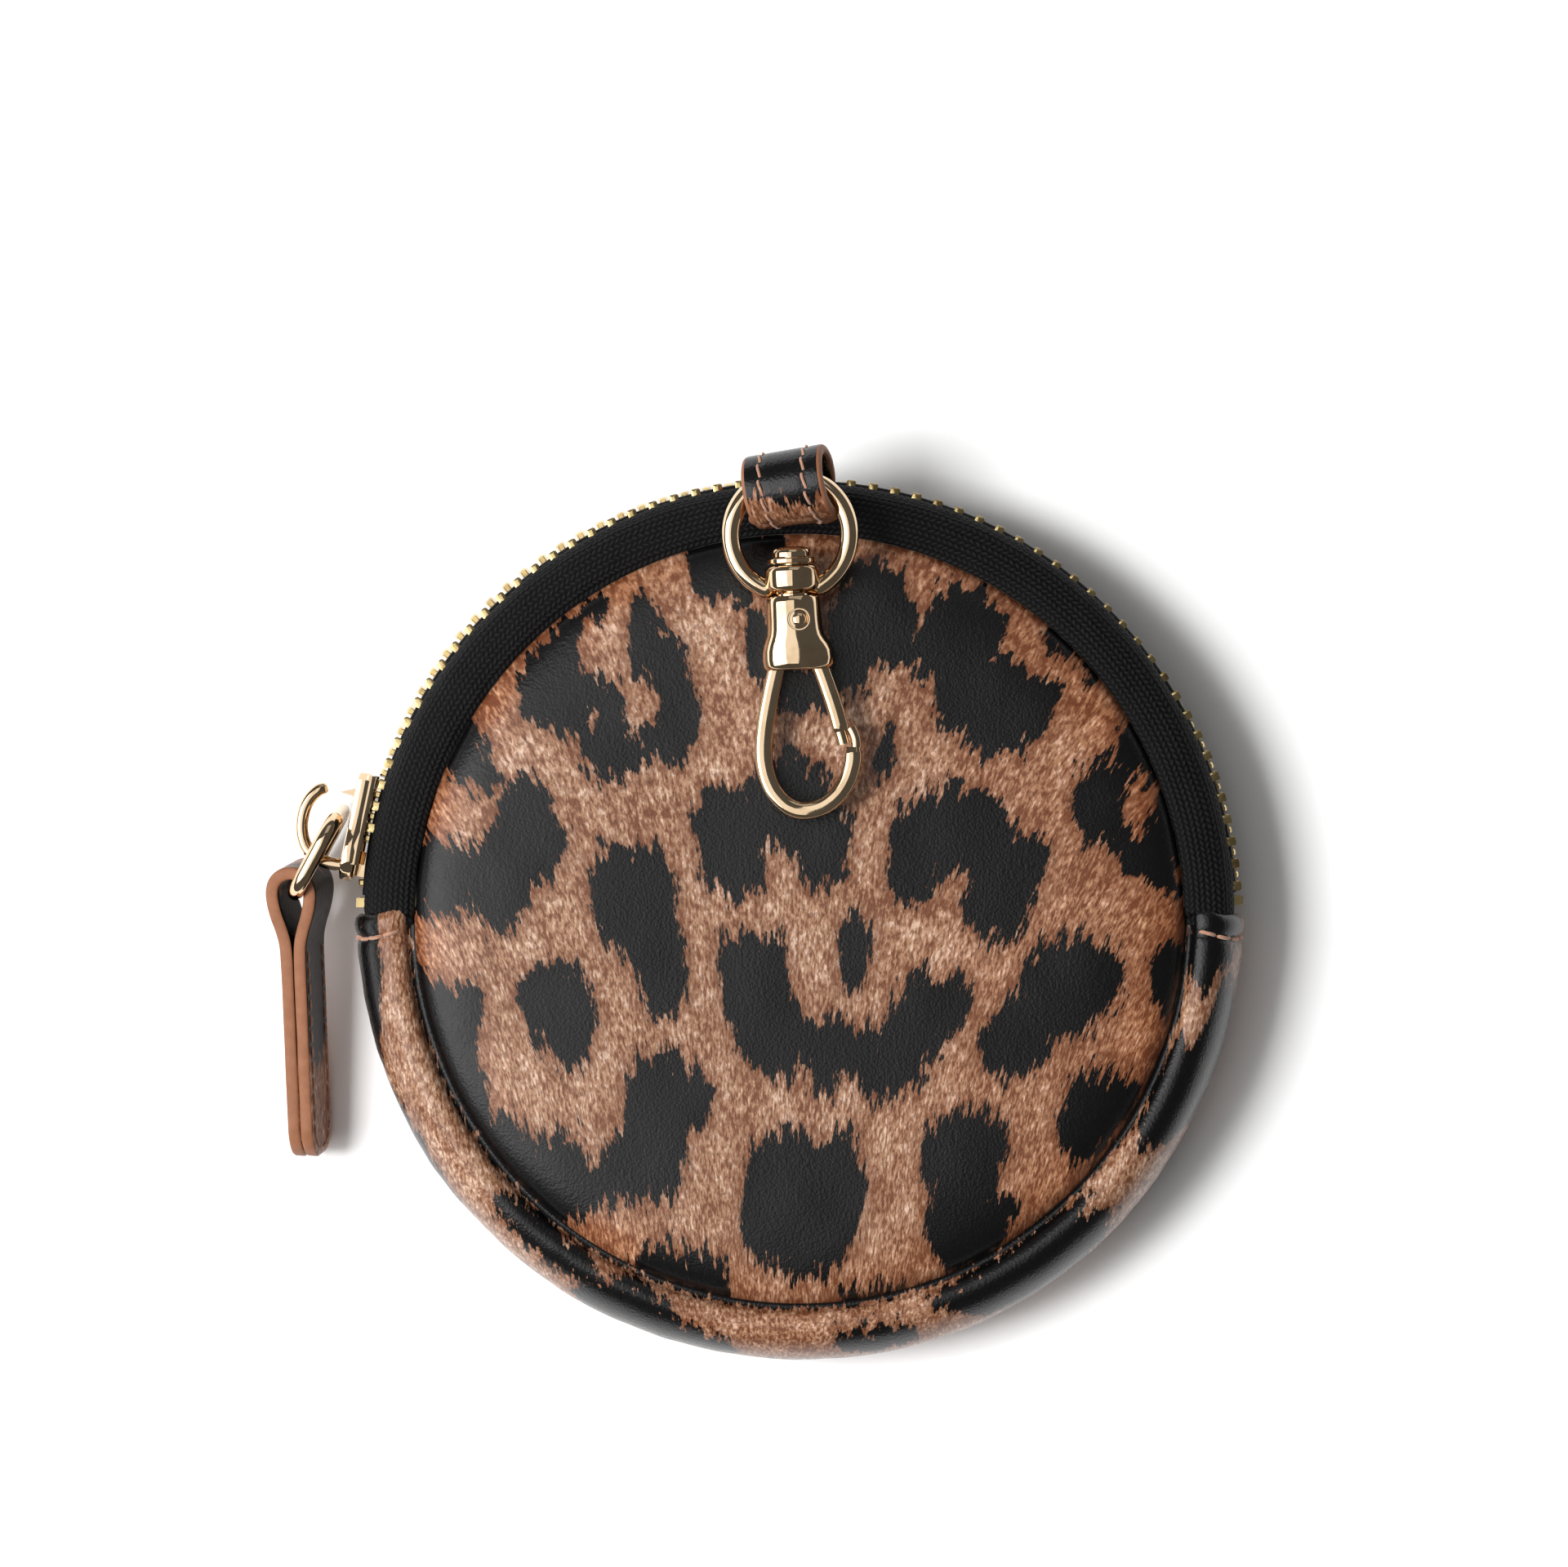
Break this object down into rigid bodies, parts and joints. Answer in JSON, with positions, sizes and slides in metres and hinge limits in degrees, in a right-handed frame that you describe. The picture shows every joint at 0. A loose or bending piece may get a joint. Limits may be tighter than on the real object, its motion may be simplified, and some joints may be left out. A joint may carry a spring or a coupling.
{
  "type": "coin purse",
  "caption": "Round zipped coin purse in leopard-print leather, with a swivel clip on a hanging loop and a leather zip pull.",
  "frame": {"origin": "centre of the back panel's flat outer face, which the purse lies on", "axes": "+Z out of the front panel, +Y from the centre towards the hanging loop, +X to the right seen from the front"},
  "size_m": [0.1213, 0.1124, 0.0287],
  "materials": {
    "printed_leather": "satin",
    "lining": "matte",
    "fibreboard": "matte",
    "zip_tape": "matte",
    "brass": "polished",
    "pale_gold": "polished"
  },
  "bodies": {
    "purse": {"back_panel": "printed_leather", "back_board": "fibreboard", "back_lining": "lining", "bottom_gusset": "printed_leather", "gusset_lining": "lining", "front_panel_lower": "printed_leather", "front_board_lower": "fibreboard", "front_lining_lower": "lining", "back_zip_tape": "zip_tape", "back_tooth_row": "brass", "bottom_stop": "brass", "back_top_stop": "brass"},
    "front_flap": {"front_panel_upper": "printed_leather", "front_board_upper": "fibreboard", "front_lining_upper": "lining", "front_zip_tape": "zip_tape", "front_tooth_row": "brass", "front_top_stop": "brass", "hanging_loop": "printed_leather"},
    "slider": {"slider_body": "pale_gold"},
    "leaf": {"hook_leaf": "pale_gold"},
    "puller_ring": {"pull_ring": "pale_gold"},
    "puller_tab": {"pull_tab": "printed_leather"},
    "ring": {"clip_ring": "pale_gold"},
    "hook": {"swivel_pin": "pale_gold", "pin_washer": "pale_gold", "hook_body": "pale_gold", "gate_rivet": "pale_gold", "gate_spring": "pale_gold"},
    "gate": {"hook_gate": "pale_gold"}
  },
  "joints": [
    {"name": "zip_slide", "type": "hinge", "parent": "purse", "child": "slider", "pos_m": [0, 0, 0.0105], "axis": [0, 0, 1], "range_deg": [-155, 0], "deforming": ["back_tooth_row", "front_tooth_row", "front_zip_tape"]},
    {"name": "mouth_open", "type": "hinge", "parent": "purse", "child": "front_flap", "pos_m": [0, 0, 0.021], "axis": [1, 0, 0], "range_deg": [0, 31], "deforming": ["front_zip_tape", "front_tooth_row"]},
    {"name": "hook_leaf_press", "type": "hinge", "parent": "slider", "child": "leaf", "pos_m": [-0.0555, 0.0156, 0.0105], "axis": [0, 0, 1], "range_deg": [0, 20], "stiffness_Nm_per_rad": 0.004, "springref_deg": -2.86},
    {"name": "pull_ring_swing", "type": "hinge", "parent": "slider", "child": "puller_ring", "pos_m": [-0.0574, 0.0126, 0.0105], "axis": [-0.0517, -0.1407, 0.9887], "range_deg": [-140, 2]},
    {"name": "pull_tab_swing", "type": "hinge", "parent": "puller_ring", "child": "puller_tab", "pos_m": [-0.0623, 0.0037, 0.00898], "axis": [-0.0517, -0.1407, 0.9887], "range_deg": [-60, 5]},
    {"name": "clip_ring_swing", "type": "hinge", "parent": "front_flap", "child": "ring", "pos_m": [-0.00149, 0.05309, 0.0245], "axis": [1, 0, 0], "range_deg": [-170, 0]},
    {"name": "hook_swivel", "type": "hinge", "parent": "ring", "child": "hook", "pos_m": [-0.00096, 0.04201, 0.0245], "axis": [-0.0471, 0.9989, 0], "range_deg": [-20, 20]},
    {"name": "gate_open", "type": "hinge", "parent": "hook", "child": "gate", "pos_m": [-0.00011, 0.03664, 0.0245], "axis": [0, 0, 1], "range_deg": [-19, 0], "stiffness_Nm_per_rad": 0.02, "springref_deg": 17.19, "deforming": ["gate_spring"]}
  ],
  "couplings": [
    {"joint": "mouth_open", "follows": "zip_slide", "ratio": -0.2}
  ]
}
